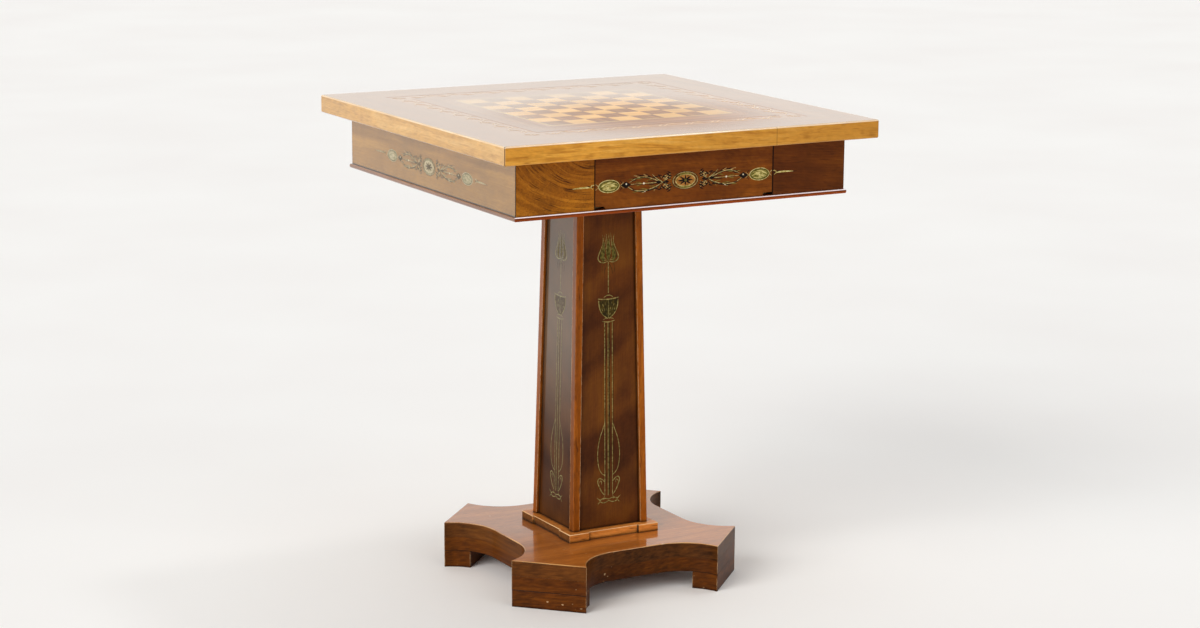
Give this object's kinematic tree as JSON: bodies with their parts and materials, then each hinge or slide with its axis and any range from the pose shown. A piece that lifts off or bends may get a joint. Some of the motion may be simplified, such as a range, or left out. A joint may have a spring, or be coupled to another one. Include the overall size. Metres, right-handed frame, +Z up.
{
  "type": "chess table",
  "caption": "Square pedestal game table: inlaid chess board top, shallow box with a dovetailed drawer, tapered panelled column and low base with in-curved sides.",
  "frame": {"origin": "on the floor, under the centre of the column", "axes": "+Z up, +X to the right along the drawer front, the drawer front faces -Y and opens towards it"},
  "size_m": [0.64, 0.64, 0.75],
  "materials": {
    "carcase_pine": "bare",
    "amber_lipping": "gloss lacquer",
    "rosewood_veneer": "gloss lacquer",
    "border_veneer": "gloss lacquer",
    "maple_square": "gloss lacquer",
    "rosewood_square": "gloss lacquer",
    "boxwood_line": "gloss lacquer",
    "walnut_apron": "gloss lacquer",
    "mahogany_bead": "gloss lacquer",
    "inlay": "gloss lacquer",
    "beech_drawer": "bare",
    "plywood": "bare",
    "cherry_stile": "gloss lacquer",
    "walnut_panel": "gloss lacquer",
    "walnut_base": "gloss lacquer",
    "steel_screw": "plain"
  },
  "bodies": {
    "table": {"base_screw": "steel_screw", "bead_back": "mahogany_bead", "bead_front": "mahogany_bead", "bead_left": "mahogany_bead", "bead_right": "mahogany_bead", "board_stringing": "boxwood_line", "border_band": "border_veneer", "border_stringing": "boxwood_line", "box_bottom": "carcase_pine", "box_inlay": "inlay", "column_foot_block": "carcase_pine", "column_head_block": "carcase_pine", "column_panel_back": "walnut_panel", "column_panel_front": "walnut_panel", "column_panel_left": "walnut_panel", "column_panel_right": "walnut_panel", "column_stile_back_left": "cherry_stile", "column_stile_back_right": "cherry_stile", "column_stile_front_left": "cherry_stile", "column_stile_front_right": "cherry_stile", "dark_squares": "rosewood_square", "drawer_guide_left": "carcase_pine", "drawer_guide_right": "carcase_pine", "drawer_stops": "carcase_pine", "foot_back_left": "walnut_base", "foot_back_right": "walnut_base", "foot_front_left": "walnut_base", "foot_front_right": "walnut_base", "front_panel_left": "walnut_apron", "front_panel_right": "walnut_apron", "glue_block_back_left": "carcase_pine", "glue_block_back_right": "carcase_pine", "glue_block_front_left": "carcase_pine", "glue_block_front_right": "carcase_pine", "head_screw": "steel_screw", "kicker_left": "carcase_pine", "kicker_right": "carcase_pine", "kicker_screws": "steel_screw", "light_squares": "maple_square", "lipping_back": "amber_lipping", "lipping_front": "amber_lipping", "lipping_left": "amber_lipping", "lipping_right": "amber_lipping", "platform_lower": "walnut_base", "platform_upper": "walnut_base", "plinth": "cherry_stile", "rail_back": "walnut_apron", "rail_left": "walnut_apron", "rail_right": "walnut_apron", "top_core": "carcase_pine", "top_veneer": "rosewood_veneer"},
    "drawer": {"drawer_back": "beech_drawer", "drawer_bottom": "plywood", "drawer_front": "walnut_apron", "drawer_inlay": "inlay", "drawer_side_left": "beech_drawer", "drawer_side_right": "beech_drawer"}
  },
  "joints": [
    {"name": "drawer_slide", "type": "slide", "parent": "table", "child": "drawer", "axis": [0, -1, 0], "range_m": [0, 0.3]}
  ]
}
